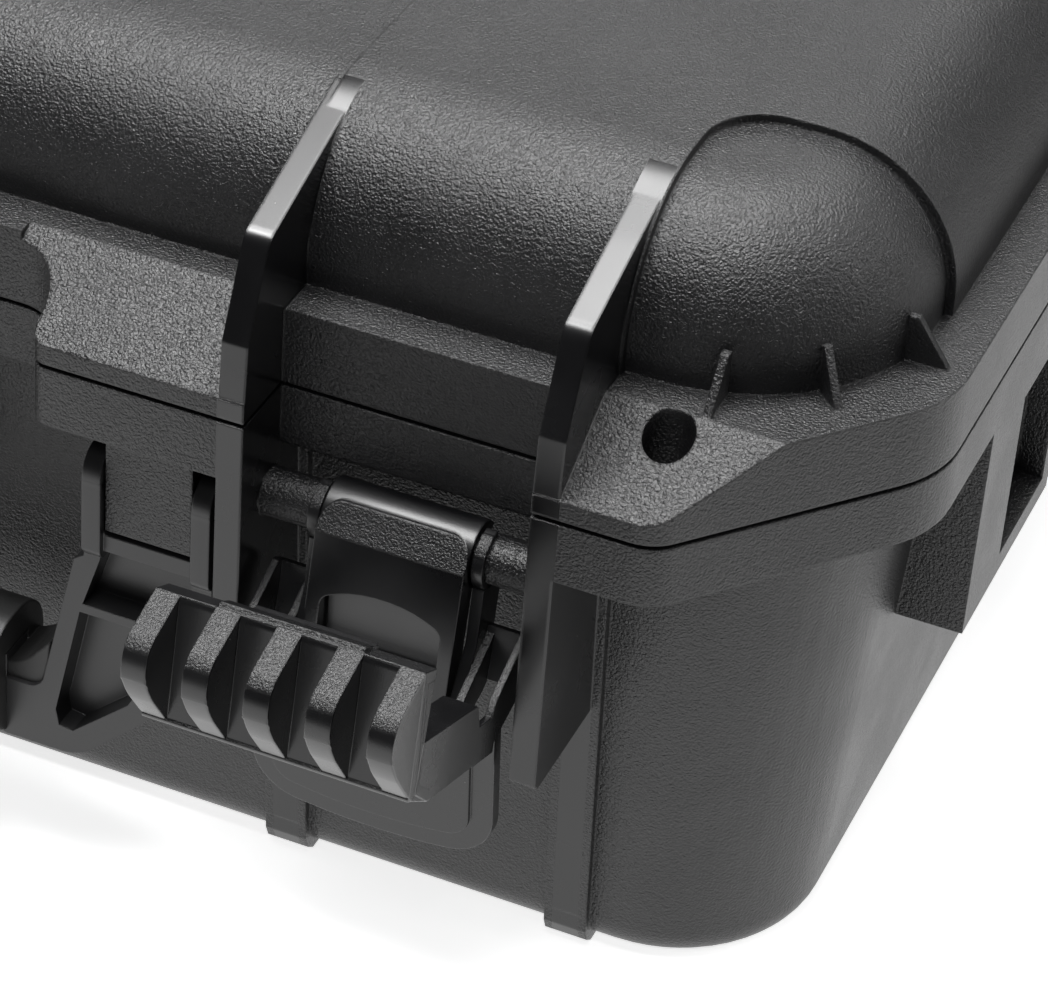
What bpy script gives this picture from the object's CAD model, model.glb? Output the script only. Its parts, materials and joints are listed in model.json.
"""Looks for a hard moulded case for graded trading cards.

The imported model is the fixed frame. This script gives its shells their grained
plastic, rebuilds the latches, handle and foam as finished meshes, and sets the
floor, the lights and the camera.
"""

from __future__ import annotations

import json
import logging
import math
from dataclasses import dataclass
from enum import Enum

import bmesh
import bpy
from bmesh.types import BMesh
from bpy.types import Material, Node, NodeSocket, NodeTree, Object
from mathutils import Euler, Matrix, Vector

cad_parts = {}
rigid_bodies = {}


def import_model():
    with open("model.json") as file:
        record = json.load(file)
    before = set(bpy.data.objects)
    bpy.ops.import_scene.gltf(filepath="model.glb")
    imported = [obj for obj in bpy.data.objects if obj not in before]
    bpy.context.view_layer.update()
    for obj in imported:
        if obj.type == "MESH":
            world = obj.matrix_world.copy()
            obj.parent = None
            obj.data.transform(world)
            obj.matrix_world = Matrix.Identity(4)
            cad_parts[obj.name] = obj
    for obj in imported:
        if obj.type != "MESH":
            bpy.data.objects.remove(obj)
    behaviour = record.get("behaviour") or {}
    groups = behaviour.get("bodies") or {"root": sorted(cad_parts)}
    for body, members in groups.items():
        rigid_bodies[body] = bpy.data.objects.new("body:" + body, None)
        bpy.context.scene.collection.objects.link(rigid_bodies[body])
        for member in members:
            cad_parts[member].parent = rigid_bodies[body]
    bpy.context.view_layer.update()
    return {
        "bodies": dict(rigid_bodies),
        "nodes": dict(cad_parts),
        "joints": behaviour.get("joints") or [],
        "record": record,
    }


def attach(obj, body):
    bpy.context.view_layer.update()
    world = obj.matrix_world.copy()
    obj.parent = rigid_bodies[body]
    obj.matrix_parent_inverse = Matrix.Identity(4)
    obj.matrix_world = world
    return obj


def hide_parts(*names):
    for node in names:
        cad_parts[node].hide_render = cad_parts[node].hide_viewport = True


log = logging.getLogger("card_case")

MM = 0.001
SIDES = (-1, 1)
CORNER_STEPS = 7  # Faces round an outline's corner
RING_STEPS = 40  # Faces round a ring
SHARP_EDGE = 0.5  # Radians: edges that turn more are rounded
CREASE = math.radians(40)  # Edges that turn more stay crisp in the shading

Point = tuple[float, float]
Triple = tuple[float, float, float]
Colour = tuple[float, float, float, float]


class Across(Enum):
    """The direction in which an outline is drawn out into a solid."""

    X = "x"
    Y = "y"
    Z = "z"


# Shaping: outlines are in millimetres, in the model's frame


def at(across: Across, depth: float, point: Point) -> Triple:
    """Places a point of an outline.

    Args:
        across: The axis that the outline is drawn out along.
        depth: The place on that axis.
        point: The other two coordinates, in the order of the axes.

    Returns:
        The point in the model's frame.
    """
    first, second = point
    return {
        Across.X: (depth, first, second),
        Across.Y: (first, depth, second),
        Across.Z: (first, second, depth),
    }[across]


def soften(part: BMesh, edge: float, segments: int = 2) -> None:
    """Rounds every sharp edge of a part.

    Args:
        part: The part.
        edge: How far the rounding reaches from an edge.
        segments: How many faces it has.
    """
    bmesh.ops.recalc_face_normals(part, faces=part.faces)
    sharp = [e for e in part.edges if e.is_manifold and e.calc_face_angle() > SHARP_EDGE]
    bmesh.ops.bevel(part, geom=sharp, offset=edge, offset_type="OFFSET", segments=segments,
                    profile=0.5, affect="EDGES", clamp_overlap=True, material=-1)


def prism(
    outline: list[Point], across: Across, start: float, end: float,
    rounds: dict[int, float] | None = None, edge: float = 0.3,
    holes: tuple[list[Point], ...] = (),
) -> BMesh:
    """Draws an outline out into a solid with rounded edges.

    Args:
        outline: The corners, in order.
        across: The axis to draw it out along.
        start: Where the solid starts on that axis.
        end: Where it ends.
        rounds: How far the rounding of a corner reaches, by the corner's number.
        edge: The small rounding of all other edges, or 0 for none.
        holes: Outlines of openings in it.

    Returns:
        The solid.
    """
    part = bmesh.new()
    loops = [
        [part.verts.new(at(across, start, point)) for point in loop]
        for loop in (outline, *holes)
    ]
    rim = [part.edges.new((loop[i - 1], loop[i])) for loop in loops for i in range(len(loop))]
    if holes:
        filled = bmesh.ops.triangle_fill(part, edges=rim, use_beauty=True)["geom"]
        faces = [item for item in filled if isinstance(item, bmesh.types.BMFace)]
    else:
        faces = [part.faces.new(loops[0])]
    grown = bmesh.ops.extrude_face_region(part, geom=faces, use_keep_orig=True)["geom"]
    far = {item for item in grown if isinstance(item, bmesh.types.BMVert)}
    bmesh.ops.translate(part, verts=list(far), vec=at(across, end - start, (0.0, 0.0)))
    posts = {
        number: next(e for e in loops[0][number].link_edges if e.other_vert(loops[0][number])
                     in far)
        for number in (rounds or {})
    }
    for number, post in posts.items():
        bmesh.ops.bevel(part, geom=[post], offset=rounds[number], offset_type="OFFSET",
                        segments=CORNER_STEPS, profile=0.5, affect="EDGES", clamp_overlap=True,
                        material=-1)
    if edge:
        soften(part, edge)
    return part


def ring(
    axis: Point, inner: float, outer: float, start: float, end: float,
    first_angle: float = 0.0, sweep: float = 360.0, edge: float = 0.4,
) -> BMesh:
    """Spins a bearing ring, whole or open, round an axis along X.

    Args:
        axis: The axis's y and z.
        inner: Radius of its bore.
        outer: Its outer radius.
        start: Where it starts along X.
        end: Where it ends.
        first_angle: Where an open ring starts, in degrees upwards from the front.
        sweep: How far round it goes.
        edge: Rounding of its edges.

    Returns:
        The ring.
    """
    part = bmesh.new()
    turn = math.radians(first_angle)
    middle = Vector((0.0, axis[0], axis[1]))
    toward = Vector((0.0, -math.cos(turn), math.sin(turn)))
    corners = [
        part.verts.new(middle + toward * radius + Vector((x, 0.0, 0.0)))
        for x, radius in ((start, inner), (start, outer), (end, outer), (end, inner))
    ]
    loop = [part.edges.new((corners[i - 1], corners[i])) for i in range(4)]
    whole = sweep >= 360.0
    bmesh.ops.spin(part, geom=corners + loop, cent=middle, axis=(-1.0, 0.0, 0.0),
                   angle=math.radians(sweep), steps=RING_STEPS, use_merge=whole)
    if not whole:
        open_edges = [e for e in part.edges if e.is_boundary]
        bmesh.ops.holes_fill(part, edges=open_edges, sides=4)
    soften(part, edge)
    return part


def lean(part: BMesh, slope: float, level: float, below: bool = False) -> None:
    """Leans a part outwards from a level.

    Args:
        part: The part.
        slope: How far it moves to the front for each millimetre below the level.
        level: The height that stays where it is.
        below: Whether only what lies below the level leans.
    """
    for vert in part.verts:
        drop = level - vert.co.z
        vert.co.y -= slope * (max(drop, 0.0) if below else drop)


def box_outline(half_x: float, half_y: float, middle: Point = (0.0, 0.0)) -> list[Point]:
    """Corners of a rectangle.

    Args:
        half_x: Half its width.
        half_y: Half its height.
        middle: Its centre.

    Returns:
        Four points, in order.
    """
    return [
        (middle[0] - half_x, middle[1] - half_y), (middle[0] + half_x, middle[1] - half_y),
        (middle[0] + half_x, middle[1] + half_y), (middle[0] - half_x, middle[1] + half_y),
    ]


class Piece:
    """A finished piece, joined from parts."""

    def __init__(self, name: str) -> None:
        """Starts an empty piece.

        Args:
            name: The piece's name.
        """
        self.name = name
        self.mesh = bmesh.new()

    def add(self, *parts: BMesh, coat: int = 0) -> Piece:
        """Joins parts to the piece.

        Args:
            *parts: The parts, which are used up.
            coat: The number of their material among the piece's.

        Returns:
            The piece itself.
        """
        for part in parts:
            for face in part.faces:
                face.material_index = coat
            spare = bpy.data.meshes.new("spare")
            part.to_mesh(spare)
            part.free()
            self.mesh.from_mesh(spare)
            bpy.data.meshes.remove(spare)
        return self

    def place(self, node: str, body: str, slot: str,
              *materials: Material) -> Object:
        """Makes the object that stands for a node of the model.

        Args:
            node: The node that it replaces.
            body: The body that it moves with.
            slot: The record's material slot.
            *materials: Its materials, in order.

        Returns:
            The object.
        """
        bmesh.ops.recalc_face_normals(self.mesh, faces=self.mesh.faces)
        bmesh.ops.scale(self.mesh, vec=(MM, MM, MM), verts=self.mesh.verts)
        mesh = bpy.data.meshes.new(self.name)
        self.mesh.to_mesh(mesh)
        self.mesh.free()
        for face in mesh.polygons:
            face.use_smooth = True
        mesh.set_sharp_from_angle(angle=CREASE)
        for material in materials:
            mesh.materials.append(material)
        made = bpy.data.objects.new(self.name, mesh)
        bpy.context.scene.collection.objects.link(made)
        normals = made.modifiers.new("even_normals", "WEIGHTED_NORMAL")
        normals.keep_sharp = True
        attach(made, body)
        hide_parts(node)
        log.info("made %s for %s, %d faces", self.name, node, len(mesh.polygons))
        return made


# Shader helpers


@dataclass
class Graph:
    """A node tree with short calls for adding nodes and joining sockets."""

    tree: NodeTree

    def add(self, kind: str, **settings: object) -> Node:
        """Adds one node.

        Args:
            kind: The node's type name.
            **settings: Attributes to set on the node.

        Returns:
            The new node.
        """
        node = self.tree.nodes.new(kind)
        for key, value in settings.items():
            setattr(node, key, value)
        return node

    def link(self, source: NodeSocket, target: NodeSocket) -> None:
        """Joins two sockets.

        Args:
            source: The output.
            target: The input.
        """
        self.tree.links.new(source, target)

    def feed(self, node: Node, **sockets: object) -> Node:
        """Sets or links inputs of a node, named with underscores for spaces.

        Args:
            node: The node whose inputs are set.
            **sockets: A value, or an output socket to link.

        Returns:
            The same node.
        """
        for key, value in sockets.items():
            socket = node.inputs[key.replace("_", " ")]
            if isinstance(value, NodeSocket):
                self.link(value, socket)
            else:
                socket.default_value = value
        return node

    def math(self, operation: str, *values: object) -> NodeSocket:
        """Adds a Math node.

        Args:
            operation: The operation's name, such as MULTIPLY.
            *values: Numbers or sockets, in order.

        Returns:
            The node's output.
        """
        node = self.add("ShaderNodeMath", operation=operation)
        for index, value in enumerate(values):
            if isinstance(value, NodeSocket):
                self.link(value, node.inputs[index])
            else:
                node.inputs[index].default_value = value
        return node.outputs[0]

    def band(self, value: object, low: float, high: float) -> NodeSocket:
        """Maps a value smoothly from 0 at low to 1 at high.

        Args:
            value: The socket to map.
            low: Where the result is 0.
            high: Where the result is 1.

        Returns:
            The mapped value.
        """
        node = self.add("ShaderNodeMapRange", interpolation_type="SMOOTHSTEP")
        self.feed(node, Value=value, From_Min=low, From_Max=high, To_Min=0.0, To_Max=1.0)
        return node.outputs["Result"]

    def mix(self, factor: object, first: object, second: object) -> NodeSocket:
        """Mixes two colours.

        Args:
            factor: How much of the second colour.
            first: The first colour, or a socket.
            second: The second colour, or a socket.

        Returns:
            The mixed colour.
        """
        node = self.add("ShaderNodeMix", data_type="RGBA")
        for socket, value in (
            (node.inputs[0], factor), (node.inputs[6], first), (node.inputs[7], second),
        ):
            if isinstance(value, NodeSocket):
                self.link(value, socket)
            else:
                socket.default_value = value
        return node.outputs[2]

    def place(self) -> NodeSocket:
        """Object coordinates, in metres."""
        return self.add("ShaderNodeTexCoord").outputs["Object"]

    def split(self, vector: NodeSocket) -> Node:
        """Takes a vector apart.

        Args:
            vector: The vector.

        Returns:
            The node with outputs X, Y and Z.
        """
        return self.feed(self.add("ShaderNodeSeparateXYZ"), Vector=vector)

    def effect(self, group: NodeTree, **sockets: object) -> NodeSocket:
        """Places a shared node group.

        Args:
            group: The group.
            **sockets: Its inputs.

        Returns:
            Its only output.
        """
        node = self.add("ShaderNodeGroup", node_tree=group)
        return self.feed(node, **sockets).outputs[0]


def new_material(name: str) -> tuple[Material, Graph, Node]:
    """Starts a material.

    Args:
        name: The material's name.

    Returns:
        The material, its graph and its Principled BSDF.
    """
    material = bpy.data.materials.new(name)
    material.use_nodes = True
    return material, Graph(material.node_tree), material.node_tree.nodes["Principled BSDF"]


def new_group(
    name: str, inputs: dict[str, float], output: str,
) -> tuple[NodeTree, Graph, Node, Node]:
    """Starts a shader node group with float sockets and one output.

    Args:
        name: The group's name.
        inputs: Input names and their defaults.
        output: The output's name.

    Returns:
        The tree, its graph, its input node and its output node.
    """
    tree = bpy.data.node_groups.new(name, "ShaderNodeTree")
    for key, value in inputs.items():
        socket = tree.interface.new_socket(key, in_out="INPUT", socket_type="NodeSocketFloat")
        socket.default_value = value
    tree.interface.new_socket(output, in_out="OUTPUT", socket_type="NodeSocketFloat")
    graph = Graph(tree)
    return tree, graph, graph.add("NodeGroupInput"), graph.add("NodeGroupOutput")


# How far the pebbles are pushed out of line, in metres, and a speck's share of its spacing
WARP = 0.0006
SPECK = 0.022


class Effects:
    """Shader node groups that several finishes share, each built once."""

    def __init__(self) -> None:
        """Builds every group."""
        self.grain = self._grain()
        self.specks = self._specks()
        self.mottle = self._mottle()

    def _grain(self) -> NodeTree:
        """The pebbled texture etched into the mould.

        Returns:
            A group from pebble size in millimetres to a height from 0 to 1.
        """
        tree, graph, given, result = new_group(
            "moulded_grain", {"Pebble": 1.0, "Roughness": 0.5}, "Height",
        )
        place = graph.place()
        scale = graph.math("DIVIDE", 1000.0, given.outputs["Pebble"])
        warp = graph.add("ShaderNodeTexNoise")
        graph.feed(warp, Vector=place, Scale=scale, Detail=1.0)
        push = graph.add("ShaderNodeVectorMath", operation="SCALE")
        graph.feed(push, Vector=warp.outputs["Color"], Scale=WARP)
        moved = graph.add("ShaderNodeVectorMath", operation="ADD")
        graph.link(place, moved.inputs[0])
        graph.link(push.outputs[0], moved.inputs[1])
        cells = graph.add("ShaderNodeTexVoronoi", feature="SMOOTH_F1")
        graph.feed(cells, Vector=moved.outputs[0], Scale=scale, Smoothness=0.6)
        fine = graph.add("ShaderNodeTexNoise")
        graph.feed(fine, Vector=moved.outputs[0], Scale=scale, Detail=3.0,
                   Roughness=given.outputs["Roughness"])
        pebbles = graph.math("SUBTRACT", 1.0, cells.outputs["Distance"])
        height = graph.math("MULTIPLY_ADD", fine.outputs["Fac"], 0.9,
                            graph.math("MULTIPLY", pebbles, 0.55))
        graph.link(height, result.inputs["Height"])
        return tree

    def _specks(self) -> NodeTree:
        """Sparse specks of dust and lint.

        Returns:
            A group from speck spacing in millimetres and amount to a mask.
        """
        tree, graph, given, result = new_group(
            "dust_specks", {"Spacing": 9.0, "Amount": 0.5}, "Mask",
        )
        scale = graph.math("DIVIDE", 1000.0, given.outputs["Spacing"])
        cells = graph.add("ShaderNodeTexVoronoi", feature="F1")
        graph.feed(cells, Vector=graph.place(), Scale=scale, Randomness=1.0)
        near = graph.math("LESS_THAN", cells.outputs["Distance"], SPECK)
        pick = graph.add("ShaderNodeSeparateColor")
        graph.link(cells.outputs["Color"], pick.inputs[0])
        chosen = graph.math("LESS_THAN", pick.outputs[0], given.outputs["Amount"])
        graph.link(graph.math("MULTIPLY", near, chosen), result.inputs["Mask"])
        return tree

    def _mottle(self) -> NodeTree:
        """Slow variation from handling and mould flow.

        Returns:
            A group from patch size in millimetres to a mask from 0 to 1.
        """
        tree, graph, given, result = new_group("handling_mottle", {"Patch": 30.0}, "Mask")
        scale = graph.math("DIVIDE", 1000.0, given.outputs["Patch"])
        cloud = graph.add("ShaderNodeTexNoise")
        graph.feed(cloud, Vector=graph.place(), Scale=scale, Detail=4.0, Roughness=0.6)
        graph.link(graph.band(cloud.outputs["Fac"], 0.35, 0.68), result.inputs["Mask"])
        return tree


# The polished latch ribs' places across the case and their back, in millimetres
RIB_BANDS = ((82.4, 88.0), (144.0, 149.6))
RIB_BACK = -121.0
# How far a matte top's normal points up and out, where the matte starts and where it is full
TOP_UP = (0.48, 0.58)
TOP_OUT = (0.14, 0.24)


@dataclass(frozen=True)
class Plastic:
    """A moulded plastic, from finely grained to satin."""

    name: str
    colour: Triple
    roughness: float
    pebble: float
    depth: float
    edge: float = 0.8
    smooth_ribs: bool = False
    grained_tops: bool = False
    patch: float = 30.0
    pale_gain: float = 1.45
    pale_lift: float = 0.0015
    dust: float = 0.4
    dust_spacing: float = 7.0
    dust_colour: Colour = (0.16, 0.16, 0.155, 1.0)
    worn: float = 0.07
    rib_polish: float = 0.12
    top_depth: float = 0.20
    top_roughness: float = 0.12
    gloss: float = 0.75

    def build(self, effects: Effects) -> Material:
        """Makes the material.

        Args:
            effects: The shared node groups.

        Returns:
            The finished material.
        """
        material, graph, shader = new_material(self.name)
        grain = graph.effect(effects.grain, Pebble=self.pebble, Roughness=0.55)
        specks = graph.effect(effects.specks, Spacing=self.dust_spacing, Amount=self.dust)
        mottle = graph.effect(effects.mottle, Patch=self.patch)
        dark = (*self.colour, 1.0)
        pale = (*(self.pale_gain * c + self.pale_lift for c in self.colour), 1.0)
        base = graph.mix(specks, graph.mix(mottle, dark, pale), self.dust_colour)
        rough = graph.math("MULTIPLY_ADD", mottle, self.worn, self.roughness)
        strength: object = self.depth
        if self.smooth_ribs:
            ribs = self._rib_mask(graph)
            strength = graph.math("MULTIPLY", graph.math("SUBTRACT", 1.0, ribs), self.depth)
            rough = graph.math("SUBTRACT", rough, graph.math("MULTIPLY", ribs, self.rib_polish))
        if self.grained_tops:
            tops = self._top_mask(graph)
            strength = graph.math("MULTIPLY_ADD", tops, self.top_depth, self.depth)
            rough = graph.math("MULTIPLY_ADD", tops, self.top_roughness, rough)
        edges = graph.add("ShaderNodeBevel", samples=4)
        graph.feed(edges, Radius=self.edge * MM)
        bump = graph.add("ShaderNodeBump")
        graph.feed(bump, Strength=1.0, Distance=1.0, Normal=edges.outputs[0])
        graph.feed(bump, Height=graph.math("MULTIPLY", grain,
                                           graph.math("MULTIPLY", strength, MM)))
        graph.feed(shader, Base_Color=base, Roughness=rough, Normal=bump.outputs[0])
        graph.feed(shader, Specular_IOR_Level=self.gloss)
        return material

    def _top_mask(self, graph: Graph) -> NodeSocket:
        """Where a piece faces upwards and outwards, which the mould leaves matte.

        Args:
            graph: The material's graph.

        Returns:
            A mask that is 1 on the sloped tops.
        """
        facing = graph.split(graph.add("ShaderNodeTexCoord").outputs["Normal"])
        up = graph.band(facing.outputs["Z"], *TOP_UP)
        outwards = graph.band(graph.math("MULTIPLY", facing.outputs["Y"], -1.0), *TOP_OUT)
        return graph.math("MULTIPLY", up, outwards)

    def _rib_mask(self, graph: Graph) -> NodeSocket:
        """Where the polished latch ribs are, on either shell.

        Args:
            graph: The material's graph.

        Returns:
            A mask that is 1 on the ribs.
        """
        place = graph.split(graph.place())
        across = graph.math("ABSOLUTE", place.outputs["X"])
        mask: object = 0.0
        for low, high in RIB_BANDS:
            inside = graph.math(
                "MULTIPLY",
                graph.math("GREATER_THAN", across, low * MM),
                graph.math("LESS_THAN", across, high * MM),
            )
            mask = graph.math("MAXIMUM", mask, inside)
        front = graph.math("LESS_THAN", place.outputs["Y"], RIB_BACK * MM)
        return graph.math("MULTIPLY", mask, front)


@dataclass(frozen=True)
class Steel:
    """Drawn steel rod."""

    name: str = "drawn_steel"
    dark: Colour = (0.5, 0.51, 0.53, 1.0)
    pale: Colour = (0.62, 0.63, 0.65, 1.0)
    patch: float = 3.0

    def build(self, effects: Effects) -> Material:
        """Makes the material.

        Args:
            effects: The shared node groups.

        Returns:
            The finished material.
        """
        material, graph, shader = new_material(self.name)
        mottle = graph.effect(effects.mottle, Patch=self.patch)
        colour = graph.mix(mottle, self.dark, self.pale)
        rough = graph.math("MULTIPLY_ADD", mottle, 0.12, 0.28)
        graph.feed(shader, Base_Color=colour, Roughness=rough, Metallic=1.0)
        return material


@dataclass(frozen=True)
class Foam:
    """Dark closed-cell foam, with an open grain where it was cut."""

    name: str = "cut_foam"
    colour: Triple = (0.03, 0.03, 0.032)
    pale_gain: float = 1.6
    patch: float = 18.0
    pebble: float = 1.4
    depth: float = 0.35

    def build(self, effects: Effects) -> Material:
        """Makes the material.

        Args:
            effects: The shared node groups.

        Returns:
            The finished material.
        """
        material, graph, shader = new_material(self.name)
        grain = graph.effect(effects.grain, Pebble=self.pebble, Roughness=0.7)
        mottle = graph.effect(effects.mottle, Patch=self.patch)
        colour = graph.mix(mottle, (*self.colour, 1.0),
                           (*(self.pale_gain * c for c in self.colour), 1.0))
        bump = graph.add("ShaderNodeBump")
        graph.feed(bump, Strength=1.0, Distance=1.0)
        graph.feed(bump, Height=graph.math("MULTIPLY", grain, self.depth * MM))
        graph.feed(shader, Base_Color=colour, Roughness=0.95, Normal=bump.outputs[0])
        graph.feed(shader, Sheen_Weight=0.25, Sheen_Roughness=0.5)
        return material


@dataclass
class Finishes:
    """Every material of the case."""

    shell: Material
    latch: Material
    clip: Material
    drum: Material
    handle: Material
    grip: Material
    seal: Material
    pin: Material
    foam: Material

    @classmethod
    def make(cls) -> Finishes:
        """Builds all materials from the shared effects.

        Returns:
            The set.
        """
        effects = Effects()
        return cls(
            shell=Plastic("grained_shell", (0.0045, 0.0045, 0.005), 0.345, 0.55, 0.30,
                          smooth_ribs=True).build(effects),
            latch=Plastic("satin_latch", (0.006, 0.006, 0.0065), 0.25, 0.40, 0.010,
                          edge=0.3, grained_tops=True).build(effects),
            clip=Plastic("polished_clip", (0.003, 0.003, 0.0035), 0.26, 0.45, 0.01,
                         edge=0.3, grained_tops=True).build(effects),
            drum=Plastic("polished_drum", (0.003, 0.003, 0.0035), 0.30, 0.45, 0.01,
                         edge=0.3).build(effects),
            handle=Plastic("satin_handle", (0.008, 0.008, 0.0085), 0.34, 0.6, 0.012,
                           edge=0.3).build(effects),
            grip=Plastic("soft_grip", (0.006, 0.006, 0.006), 0.42, 0.8, 0.03).build(effects),
            seal=Plastic("seal_rubber", (0.006, 0.006, 0.006), 0.5, 0.5, 0.01).build(effects),
            pin=Steel().build(effects),
            foam=Foam().build(effects),
        )


# Pieces of the case


@dataclass
class Latch:
    """One latch: a claw and a clip on the same bar, with the clip's pull plate.

    Sizes are in millimetres. Points are (outwards, upwards) from the bar's axis. A mouth
    is where an open ring starts and how far it goes, in degrees.
    """

    name: str
    bar_x: float
    bar_y: float
    bar_z: float
    bar_r: float = 4.86
    drum_r: float = 6.7
    drum_mouth: Point = (-146.0, 292.0)
    clip_half: float = 15.0
    clip_reach: float = 30.0
    clip_leg: float = 2.9
    clip_face: float = 8.2
    clip_brow: float = 0.6
    clip_depth: float = 6.0
    clip_lean: float = 5.8
    brow_rise: float = 5.2
    brow_slope: float = 0.783
    shoulder: float = 4.2
    window_top: float = 8.2
    window_rise: float = 4.0
    tab_sink: float = 1.9
    tab_bend: float = 12.0
    tab_thick: float = 2.9
    plate_half: float = 25.0
    plate_out: float = 12.5
    plate_lean: float = 3.5
    plate_thick: float = 3.4
    plate_top: float = -30.3
    plate_foot: float = -65.3
    plate_crown: float = 3.0
    plate_layers: tuple[Triple, ...] = ((0.0, 0.0, 9.0), (4.5, 1.0, 4.5))
    pull_play: float = 0.3
    pull_pin: Point = (10.0, -25.0)
    pull_pin_r: float = 1.5
    barrel_r: float = 3.0
    claw_half: float = 26.0
    claw_top: Point = (50.8, 12.4)
    claw_lip: Point = (45.7, 9.8)
    claw_foot: Point = (53.8, -14.5)
    claw_heel: Point = (46.6, -19.7)
    claw_toe: Point = (15.2, -31.6)
    claw_floor: float = 2.2
    floor_end: Point = (36.5, -23.5)
    end_wall: float = 1.6
    arm_width: float = 7.0
    arm_end: Point = (24.4, -13.8)
    rib_count: int = 5
    rib_width: float = 5.0
    rib_reach: float = 14.2
    head_inset: float = 0.05
    tongue_in: float = 38.8
    tongue_half: float = 12.0
    crest_half: float = 14.0
    ear_in: float = 15.3
    ear_wall: float = 2.4
    ring_r: float = 6.0
    ear_mouth: Point = (172.0, 286.0)
    fin_wall: float = 1.6
    fin_back: Point = (-0.6, -15.0)

    def build(self, finishes: Finishes) -> None:
        """Makes the claw, the clip and the pull plate.

        Args:
            finishes: The case's materials.
        """
        claw_body = f"{self.name}_claw"
        clip_body = f"{self.name}_clip"
        self._claw().place(claw_body, claw_body, "latch", finishes.latch)
        self._clip().place(clip_body, clip_body, "latch", finishes.clip, finishes.drum)
        self._pull().place(f"{self.name}_pull", clip_body, "latch", finishes.latch)

    def _span(self, side: int, near: float, far: float) -> tuple[float, float]:
        """Where something beside the latch's middle starts and ends along X.

        Args:
            side: 1 for the right, -1 for the left.
            near: Its inner distance from the middle.
            far: Its outer distance.

        Returns:
            The lower and the higher place.
        """
        ends = (self.bar_x + side * near, self.bar_x + side * far)
        return min(ends), max(ends)

    def _drawn(self, profile: list[Point], span: tuple[float, float],
               rounds: dict[int, float] | None = None, edge: float = 0.3) -> BMesh:
        """Draws a profile out across the latch.

        Args:
            profile: Its corners, (outwards, upwards) from the bar's axis.
            span: Where it starts and ends along X.
            rounds: How far the rounding of a corner reaches, by the corner's number.
            edge: The small rounding of all other edges.

        Returns:
            The solid.
        """
        outline = [(self.bar_y - out, self.bar_z + up) for out, up in profile]
        return prism(outline, Across.X, *span, rounds, edge)

    def _ribs(self) -> list[BMesh]:
        """The claw's finger ribs, with a sloped top and a rounded front.

        Returns:
            One solid a rib.
        """
        back, top = self.claw_top
        front = back + self.rib_reach
        foot_out, foot = self.claw_foot
        profile = [
            (back - 0.3, top), (front - 3.4, top - 3.3), (front, top - 7.6), (front - 2.4, -2.2),
            (foot_out + 2.5, foot + 3.1), (foot_out, foot), (back + 1.0, foot + 1.5),
        ]
        pitch = (2 * self.claw_half - self.rib_width) / (self.rib_count - 1)
        starts = [self.bar_x - self.claw_half + i * pitch for i in range(self.rib_count)]
        return [
            self._drawn(profile, (start, start + self.rib_width), {1: 1.8, 2: 3.6, 3: 5.0}, 0.4)
            for start in starts
        ]

    def _head(self) -> list[BMesh]:
        """The claw's head wall, its floor and the tongue that holds the lid.

        Returns:
            The solids.
        """
        whole = (self.bar_x - self.claw_half + self.head_inset,
                 self.bar_x + self.claw_half - self.head_inset)
        top_out, top = self.claw_top
        lip_out, lip = self.claw_lip
        foot_out, foot = self.claw_foot
        heel_out, heel = self.claw_heel
        wall = self._drawn(
            [
                (lip_out, lip), (top_out, top - 0.1), (top_out + 0.8, top - 1.4),
                (foot_out + 1.5, foot + 2.3), (foot_out + 2.0, foot + 2.2),
                (foot_out + 1.6, foot + 1.2), (foot_out - 0.1, foot + 0.1), (heel_out, heel),
                (heel_out - 1.0, heel + self.claw_floor), (foot_out - 2.8, foot + 2.0),
                (top_out - 1.4, top - 3.6), (lip_out, lip - 2.4),
            ],
            whole,
        )
        floor = self._drawn(
            [
                (heel_out + 0.3, heel + 0.1), self.floor_end,
                (self.floor_end[0], self.floor_end[1] + self.claw_floor),
                (heel_out - 1.0, heel + self.claw_floor),
            ],
            whole,
        )
        tongue = self._drawn(
            [(self.tongue_in, 1.0), (self.tongue_in, 5.5), (top_out, 6.5), (top_out, 0.0)],
            (self.bar_x - self.tongue_half, self.bar_x + self.tongue_half), None, 0.5,
        )
        crest = self._drawn(
            [
                (lip_out + 0.5, lip - 1.5), (lip_out + 0.5, lip + 0.9), (top_out - 1.2, top + 0.4),
                (top_out - 0.2, top - 0.6), (top_out - 0.2, lip - 1.5),
            ],
            (self.bar_x - self.crest_half, self.bar_x + self.crest_half), None, 0.25,
        )
        end = [
            (lip_out, lip - 0.1), (top_out, top - 0.2), (top_out + 1.2, top - 1.4),
            (foot_out, -11.0), (top_out - 0.4, -11.5), (top_out - 1.8, -3.5),
        ]
        ends = [
            self._drawn(end, self._span(side, self.claw_half - self.end_wall,
                                        self.claw_half - 0.1))
            for side in SIDES
        ]
        return [wall, floor, tongue, crest, *ends]

    def _arms(self) -> list[BMesh]:
        """The claw's side arms, with their outer walls, inner fins and hooked ears.

        Returns:
            The solids.
        """
        end_out, end = self.arm_end
        back_out, back = self.fin_back
        toe_out, toe = self.claw_toe
        heel_out, heel = self.claw_heel
        fin_in = self.ear_in + self.ear_wall - 0.1
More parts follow.
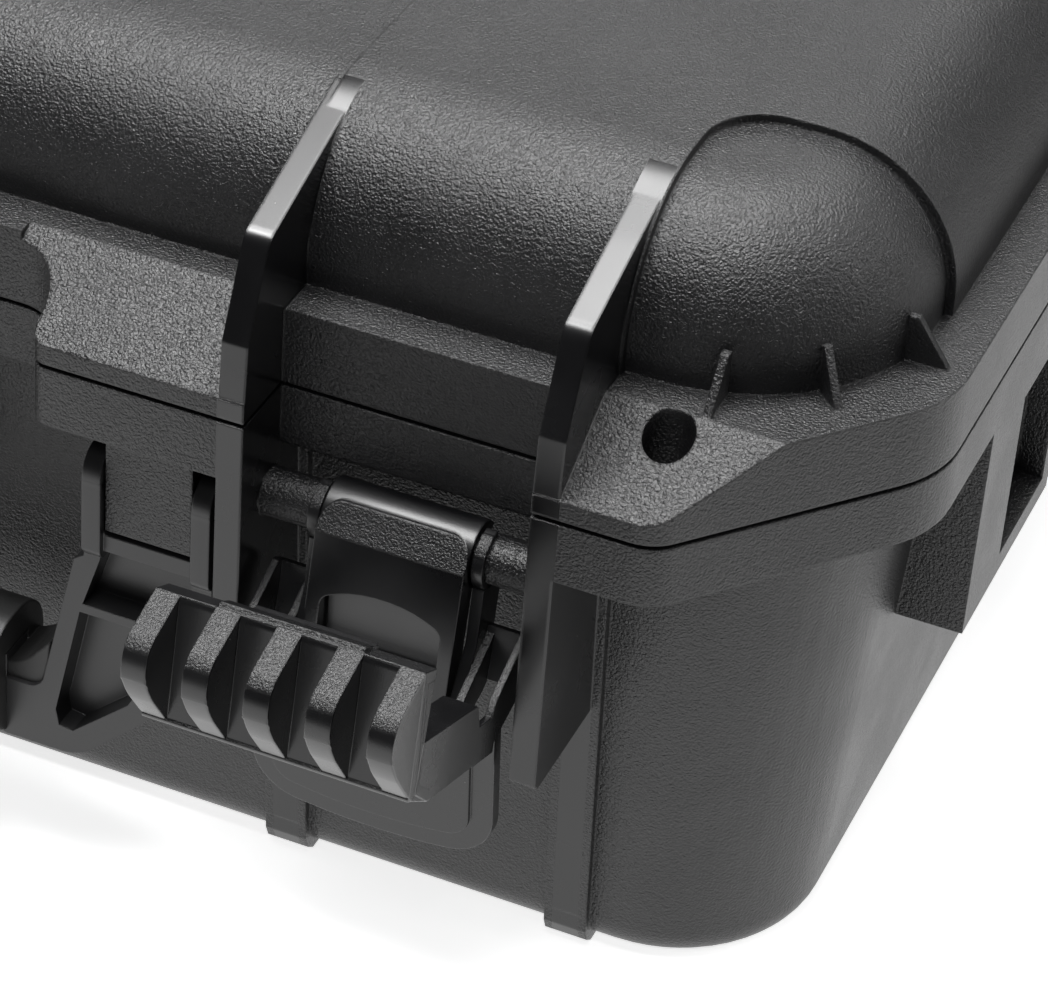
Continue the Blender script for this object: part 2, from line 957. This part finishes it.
        # The curved tail under the bar, which the outer wall, fin, tie and web all end in
        tail, belly, sole = (-2.0, -18.0), (2.5, -26.0), (toe_out - 0.4, -29.4)
        arm = [
            (self.claw_top[0] - 0.6, -3.8), (end_out, end), (end_out - 1.2, end - 5.4),
            (end_out - 1.4, -28.3), (heel_out, heel), (self.claw_foot[0] - 1.0, -13.5),
        ]
        outer_wall = [
            (end_out + 1.0, end - 5.3), (17.0, -22.0), (toe_out, -19.6), (2.0, back + 1.6),
            (back_out, back), tail, belly, sole, (toe_out, toe), (end_out + 1.0, -27.8),
        ]
        fin = [
            (back_out, back), (toe_out, -22.8), (end_out, -27.4), (toe_out, toe + 0.4),
            sole, belly, tail,
        ]
        tie = [(back_out, back), (back_out + 1.5, back + 0.4), (3.6, -25.0), belly, tail]
        web = [(-4.4, -4.4), (4.4, -4.4), (6.0, -16.0), sole, belly, tail]
        parts = []
        for side in SIDES:
            width = self._span(side, self.claw_half - self.arm_width, self.claw_half)
            wall = self._span(side, self.claw_half - self.fin_wall, self.claw_half - 0.15)
            inner = self._span(side, fin_in, fin_in + self.fin_wall)
            joined = self._span(side, fin_in, self.claw_half - 0.2)
            ear = self._span(side, self.ear_in, self.ear_in + self.ear_wall)
            parts += [
                self._drawn(arm, width, {1: 0.8, 4: 1.5}),
                self._drawn(outer_wall, wall, {3: 0.8, 5: 1.5, 6: 3.0}, 0.25),
                self._drawn(fin, inner, {5: 3.0, 6: 1.5}, 0.25),
                self._drawn(tie, joined, None, 0.2),
                self._drawn(web, ear, {4: 3.0}, 0.25),
                ring((self.bar_y, self.bar_z), self.bar_r, self.ring_r, *ear, *self.ear_mouth, 0.3),
            ]
        return parts

    def _claw(self) -> Piece:
        """The claw, with its arms, ribbed head and tongue.

        Returns:
            The piece.
        """
        return Piece(f"{self.name}_claw_finished").add(
            *self._head(), *self._arms(), *self._ribs()
        )

    def _clip(self) -> Piece:
        """The clip, with its drum, sloped brow and arched window.

        Returns:
            The piece.
        """
        axis = (self.bar_y, self.bar_z)
        half = self.clip_half
        drum = ring(axis, self.bar_r, self.drum_r, self.bar_x - half, self.bar_x + half,
                    *self.drum_mouth)
        level = self.bar_z + self.clip_brow
        front = self.bar_y - self.clip_face
        brow = prism(
            [
                (self.bar_x - half, level - 0.2), (self.bar_x + half, level - 0.2),
                (self.bar_x + half, level + self.brow_rise),
                (self.bar_x - half, level + self.brow_rise),
            ],
            Across.Y, front, front + 2.6, {2: self.shoulder, 3: self.shoulder}, 0.3,
        )
        lean(brow, self.brow_slope, level)
        inner = half - self.clip_leg
        crown = self.bar_z - self.window_top
        foot = self.bar_z - self.clip_reach
        spring = crown - self.window_rise
        plate = prism(
            [
                (self.bar_x - half, foot), (self.bar_x - half, level), (self.bar_x + half, level),
                (self.bar_x + half, foot), (self.bar_x + inner, foot),
                (self.bar_x + inner, spring), (self.bar_x, crown + 1.0),
                (self.bar_x - inner, spring), (self.bar_x - inner, foot),
            ],
            Across.Y, front, front + self.clip_depth,
            {5: 1.6, 6: 9.5, 7: 1.6}, 0.3,
        )
        lean(plate, self.clip_lean / (self.clip_reach + self.clip_brow), level)
        return Piece(f"{self.name}_clip_finished").add(brow, plate).add(drum, coat=1)

    def _pull(self) -> Piece:
        """The pull plate: a crowned tongue, its raised middle and the window's tab.

        Returns:
            The piece.
        """
        parts = []
        slope = self.plate_lean / (self.plate_top - self.plate_foot)
        for inset, rise, corner in self.plate_layers:
            half = self.plate_half - inset
            top = self.bar_z + self.plate_top - inset
            foot = self.bar_z + self.plate_foot + inset
            front = self.bar_y - self.plate_out - rise
            layer = prism(
                [
                    (self.bar_x - half, top), (self.bar_x - half, foot + self.plate_crown),
                    (self.bar_x, foot), (self.bar_x + half, foot + self.plate_crown),
                    (self.bar_x + half, top),
                ],
                Across.Y, front, front + self.plate_thick + rise - inset * 0.1,
                {1: corner, 2: 12.0, 3: corner}, 0.35,
            )
            lean(layer, -slope, self.bar_z + self.plate_top)
            parts.append(layer)
        inner = self.clip_half - self.clip_leg - self.pull_play
        crown = self.bar_z - self.window_top - self.pull_play
        bend = self.bar_z - self.window_top - self.tab_bend
        foot = self.bar_z + self.plate_top - self.plate_thick + 0.6
        tilt = self.clip_lean / (self.clip_reach + self.clip_brow)
        tab_out = self.clip_face - self.tab_sink + tilt * self.window_top
        front = self.bar_y - tab_out
        tab = prism(
            [
                (self.bar_x - inner, foot), (self.bar_x - inner, crown - self.window_rise),
                (self.bar_x, crown + 0.8), (self.bar_x + inner, crown - self.window_rise),
                (self.bar_x + inner, foot),
            ],
            Across.Y, front, front + self.tab_thick, {1: 1.6, 2: 9.5, 3: 1.6}, 0.3,
        )
        bmesh.ops.bisect_plane(tab, geom=[*tab.verts, *tab.edges, *tab.faces],
                               plane_co=(0.0, 0.0, bend), plane_no=(0.0, 0.0, 1.0))
        reach = self.plate_out - tab_out
        lean(tab, reach / (bend - self.bar_z - self.plate_top), bend, below=True)
        pin_out, pin_up = self.pull_pin
        barrel = ring((self.bar_y - pin_out, self.bar_z + pin_up), self.pull_pin_r,
                      self.barrel_r, self.bar_x - inner, self.bar_x + inner, edge=0.2)
        return Piece(f"{self.name}_pull_finished").add(*parts, tab, barrel)


@dataclass
class Handle:
    """The carrying handle: a forked frame with a thick grip. Sizes in millimetres."""

    pivot_y: float
    pivot_z: float
    pivot_x: float = 66.5
    depth: float = 9.0
    slot_half: float = 9.35
    fork_half: float = 13.55
    slot_floor: float = 88.65
    eye_r: float = 6.0
    pin_r: float = 2.56
    foot: float = 32.5
    opening: float = 60.0
    bar_top: float = 46.4
    neck: float = 82.5
    knee: float = 72.0
    elbow: Point = (67.0, 47.0)
    toe_x: float = 52.0
    inside: tuple[Point, ...] = ((50.9, 81.0), (45.3, 54.7), (43.6, 46.4))
    upper_pocket: tuple[Point, ...] = (
        (57.0, 85.0), (75.7, 85.0), (75.7, 73.4), (74.3, 70.6), (52.7, 70.6), (56.2, 82.0),
    )
    lower_pocket: tuple[Point, ...] = (
        (52.1, 68.6), (73.0, 68.6), (62.6, 49.3), (50.6, 38.4), (47.6, 38.9), (46.9, 42.6),
    )
    pocket_depth: float = 6.2
    grip_half: float = 36.0
    grip_depth: float = 22.0
    grip_height: float = 27.0
    grip_round: float = 9.5
    grip_bore: Point = (4.5, 6.0)
    rest_top: tuple[Point, ...] = (
        (33.0, 38.0), (33.0, 49.5), (38.5, 50.0), (43.0, 55.5), (45.2, 58.0), (44.8, 53.0),
        (43.3, 45.8), (43.3, 38.0),
    )
    rest_back: float = 9.4

    def build(self, finishes: Finishes) -> None:
        """Makes the frame and the grip.

        Args:
            finishes: The case's materials.
        """
        self._frame().place("handle_frame", "handle", "handle", finishes.handle)
        self._grip().place("handle_grip", "handle", "grip", finishes.grip)

    def _frame(self) -> Piece:
        """The two forked legs, joined by the core inside the grip.

        Returns:
            The piece.
        """
        frame = Piece("handle_frame_finished")
        front = self.pivot_y - self.depth / 2
        back = self.pivot_y + self.depth / 2
        inside = self.grip_half - 2.0
        outer = self.pivot_x + self.fork_half
        inner = self.pivot_x - self.fork_half
        rounds = {1: 4.0, 2: 3.0, 3: 6.0, 6: 1.0, 7: 1.0, 12: 5.0, 13: 3.0}
        half = (self.fork_half - self.slot_half) / 2
        cheek = [
            (self.pivot_y - self.eye_r, self.pivot_z), (self.pivot_y - self.eye_r, 84.8),
            (front + 0.3, self.neck + 0.4), (self.pivot_y, self.neck + 0.4),
            (self.pivot_y, self.pivot_z - self.pin_r - 1.0),
            (front + 0.3, self.pivot_z - self.pin_r), (front + 0.3, self.pivot_z),
        ]
        for side in SIDES:
            points = [
                (inside, self.foot), (self.toe_x, self.foot), self.elbow, (outer, self.knee),
                (outer, self.pivot_z), (self.pivot_x + self.slot_half, self.pivot_z),
                (self.pivot_x + self.slot_half, self.slot_floor),
                (self.pivot_x - self.slot_half, self.slot_floor),
                (self.pivot_x - self.slot_half, self.pivot_z), (inner, self.pivot_z),
                (inner, self.neck), *self.inside, (inside, self.bar_top),
            ]
            outline = [(side * x, z) for x, z in points]
            holes = tuple(
                [(side * x, z) for x, z in pocket]
                for pocket in (self.upper_pocket, self.lower_pocket)
            )
            frame.add(prism(outline, Across.Y, front, front + self.pocket_depth, rounds, 0.5,
                            holes))
            frame.add(prism(outline, Across.Y, front + self.pocket_depth - 0.6, back, rounds, 0.5))
            for prong in SIDES:
                middle = side * self.pivot_x + prong * (self.slot_half + self.fork_half) / 2
                frame.add(ring((self.pivot_y, self.pivot_z), self.pin_r, self.eye_r,
                               middle - half, middle + half, edge=0.6))
                frame.add(prism(cheek, Across.X, middle - half, middle + half, {1: 0.8}, 0.5))
        core = box_outline(self.grip_bore[0] - 0.1, self.grip_bore[1] - 0.1,
                           (self.pivot_y, (self.foot + self.opening) / 2))
        return frame.add(prism(core, Across.X, -self.grip_half, self.grip_half))

    def _grip(self) -> Piece:
        """The thick grip, with a shoulder behind the frame at each end.

        Returns:
            The piece.
        """
        middle = (self.pivot_y, (self.foot + self.opening) / 2)
        outline = box_outline(self.grip_depth / 2, self.grip_height / 2, middle)
        hole = box_outline(*self.grip_bore, middle)
        sleeve = prism(outline, Across.X, -self.grip_half, self.grip_half,
                       dict.fromkeys(range(4), self.grip_round), 2.2, (hole,))
        rests = [
            prism([(side * x, z) for x, z in self.rest_top], Across.Y,
                  self.pivot_y - self.depth / 2 + 1.0, self.pivot_y + self.rest_back,
                  {2: 4.0, 3: 2.0}, 1.2)
            for side in SIDES
        ]
        return Piece("handle_grip_finished").add(sleeve, *rests)


@dataclass
class FoamSet:
    """The foam in the case, cut to the room that the model leaves. Sizes in millimetres."""

    edge: float = 1.4
    play: float = 0.15
    weld: float = 0.002
    flat: float = math.radians(1.0)

    def build(self, nodes: dict[str, Object], finishes: Finishes) -> None:
        """Makes the floor pad, the slotted block and the lid's pad.

        Args:
            nodes: The model's own pieces.
            finishes: The case's materials.
        """
        for node, body in (("foam_floor", "base"), ("foam_insert", "base"), ("lid_foam", "lid")):
            self._pad(nodes[node], node, body, finishes.foam)

    def _pad(self, room: Object, node: str, body: str,
             material: Material) -> None:
        """Cuts one pad to the room of its node, with soft edges.

        Args:
            room: The node's object.
            node: The node that the pad stands for.
            body: The body that it moves with.
            material: The foam.
        """
        pad = bmesh.new()
        pad.from_mesh(room.data)
        bmesh.ops.scale(pad, vec=(1.0 / MM, 1.0 / MM, 1.0 / MM), verts=pad.verts)
        bmesh.ops.remove_doubles(pad, verts=pad.verts, dist=self.weld)
        bmesh.ops.dissolve_limit(pad, angle_limit=self.flat, verts=pad.verts, edges=pad.edges)
        soften(pad, self.edge, 3)
        for vert in pad.verts:
            vert.co.x -= math.copysign(min(self.play, abs(vert.co.x)), vert.co.x)
            vert.co.y -= math.copysign(min(self.play, abs(vert.co.y)), vert.co.y)
        made = Piece(f"{node}_cut").add(pad).place(node, body, "foam", material)


# The scene around the case


@dataclass(frozen=True)
class SoftBox:
    """An area lamp. Places and sizes are in metres, its power in watts."""

    name: str
    place: Triple
    aim: Triple
    width: float
    height: float
    power: float
    mirrored: bool = True

    def build(self) -> None:
        """Hangs the lamp, which gloss shows only if it is mirrored."""
        data = bpy.data.lights.new(self.name, "AREA")
        data.shape = "RECTANGLE"
        data.size = self.width
        data.size_y = self.height
        data.energy = self.power
        lamp = bpy.data.objects.new(self.name, data)
        bpy.context.scene.collection.objects.link(lamp)
        lamp.location = self.place
        lamp.visible_glossy = self.mirrored
        toward = Vector(self.aim) - Vector(self.place)
        lamp.rotation_euler = toward.to_track_quat("-Z", "Y").to_euler()


@dataclass
class Studio:
    """Floor, backdrop, lights and camera. Lengths are in metres."""

    floor_size: float = 12.0
    floor_colour: Colour = (0.9, 0.9, 0.9, 1.0)
    floor_bounce: Colour = (0.06, 0.06, 0.06, 1.0)
    floor_glow: float = 0.72
    mirror_glow: float = 1.05
    mirror_fade: Point = (0.38, 0.78)
    white_from: Point = (0.8, 1.8)
    world_light: float = 0.03
    boxes: tuple[SoftBox, ...] = (
        SoftBox("overhead", (-0.1, 0.12, 1.4), (0.0, -0.02, 0.1), 1.3, 0.5, 25.0),
        SoftBox("slopes", (-0.1, -0.46, 1.35), (0.0, -0.16, 0.12), 1.1, 0.24, 13.0),
        SoftBox("back", (-0.4, 2.2, 1.2), (0.1, 0.0, 0.15), 2.4, 0.8, 12.5),
        SoftBox("right", (1.6, 0.5, 0.9), (0.15, 0.0, 0.12), 1.2, 0.9, 11.0),
        SoftBox("front", (0.3, -1.6, 1.5), (0.1, -0.1, 0.1), 0.9, 0.5, 10.0, False),
    )
    eye: Triple = (0.3492, -0.7271, 0.5631)
    azimuth: float = 20.263
    elevation: float = 36.02
    roll: float = 4.625
    focal_pixels: float = 4176.6
    image_width: int = 1048

    def build(self) -> None:
        """Makes the floor, the world, the lamps and the camera."""
        self._floor()
        self._world()
        for box in self.boxes:
            box.build()
        self._camera()

    def _floor(self) -> None:
        """A pale floor that the camera sees as white, with the case's shadow.

        Gloss mirrors it as bright only near the case, so that faces darken upwards.
        """
        mesh = bpy.data.meshes.new("studio_floor")
        plan = bmesh.new()
        bmesh.ops.create_grid(plan, x_segments=1, y_segments=1, size=self.floor_size / 2)
        plan.to_mesh(mesh)
        plan.free()
        floor = bpy.data.objects.new("studio_floor", mesh)
        bpy.context.scene.collection.objects.link(floor)
        material, graph, shader = new_material("pale_floor")
        path = graph.add("ShaderNodeLightPath")
        camera, gloss = path.outputs["Is Camera Ray"], path.outputs["Is Glossy Ray"]
        pale = graph.mix(camera, self.floor_bounce, self.floor_colour)
        graph.feed(shader, Base_Color=pale, Roughness=0.9)
        glow = graph.add("ShaderNodeEmission")
        away = graph.add("ShaderNodeVectorMath", operation="LENGTH")
        graph.link(graph.place(), away.inputs[0])
        distance = away.outputs["Value"]
        near = graph.math("SUBTRACT", 1.0, graph.band(distance, *self.mirror_fade))
        mirrored = graph.math("MULTIPLY", gloss, near)
        far = graph.band(distance, *self.white_from)
        seen = graph.math("MULTIPLY_ADD", far, 1.0 - self.floor_glow, self.floor_glow)
        strength = graph.math("MULTIPLY_ADD", camera, seen,
                              graph.math("MULTIPLY", mirrored, self.mirror_glow))
        graph.feed(glow, Color=(1, 1, 1, 1), Strength=strength)
        both = graph.add("ShaderNodeAddShader")
        graph.link(shader.outputs[0], both.inputs[0])
        graph.link(glow.outputs[0], both.inputs[1])
        graph.link(both.outputs[0], material.node_tree.nodes["Material Output"].inputs[0])
        mesh.materials.append(material)

    def _world(self) -> None:
        """Soft grey surroundings that the camera sees as white."""
        world = bpy.data.worlds.new("studio")
        bpy.context.scene.world = world
        world.use_nodes = True
        graph = Graph(world.node_tree)
        sky = world.node_tree.nodes["Background"]
        path = graph.add("ShaderNodeLightPath")
        strength = graph.math("MULTIPLY_ADD", path.outputs["Is Camera Ray"],
                              1.0 - self.world_light, self.world_light)
        graph.feed(sky, Color=(1, 1, 1, 1), Strength=strength)

    def _camera(self) -> None:
        """Places the camera as the photograph was taken."""
        data = bpy.data.cameras.new("camera")
        data.sensor_width = 36.0
        data.lens = self.focal_pixels * data.sensor_width / self.image_width
        data.clip_start = 0.01
        camera = bpy.data.objects.new("camera", data)
        bpy.context.scene.collection.objects.link(camera)
        camera.location = self.eye
        level = Euler((math.radians(90 - self.elevation), 0.0, math.radians(self.azimuth)))
        turned = level.to_matrix() @ Matrix.Rotation(math.radians(self.roll), 3, "Z")
        camera.rotation_euler = turned.to_euler()
        bpy.context.scene.camera = camera


def main() -> None:
    """Builds the case's looks, piece by piece, and the studio round it."""
    logging.basicConfig(level=logging.INFO, format="%(message)s")
    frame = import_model()
    finishes = Finishes.make()
    kinds = {**vars(finishes), "valve": finishes.latch}
    slots = {row["node"]: row["material_slot"] for row in frame["record"]["subparts"]}
    for name, node in frame["nodes"].items():
        node.data.materials.clear()
        node.data.materials.append(kinds[slots[name]])
        log.info("dressed %s as %s", name, slots[name])
    places = {joint["name"]: [v / MM for v in joint["pos_m"]] for joint in frame["joints"]}
    for side in ("right", "left"):
        Latch(side, *places[f"{side}_clip_swing"]).build(finishes)
    _, pivot_y, pivot_z = places["handle_swing"]
    Handle(pivot_y, pivot_z).build(finishes)
    FoamSet().build(frame["nodes"], finishes)
    Studio().build()
    bpy.context.scene.view_settings.view_transform = "Standard"


if __name__ == "__main__":
    main()
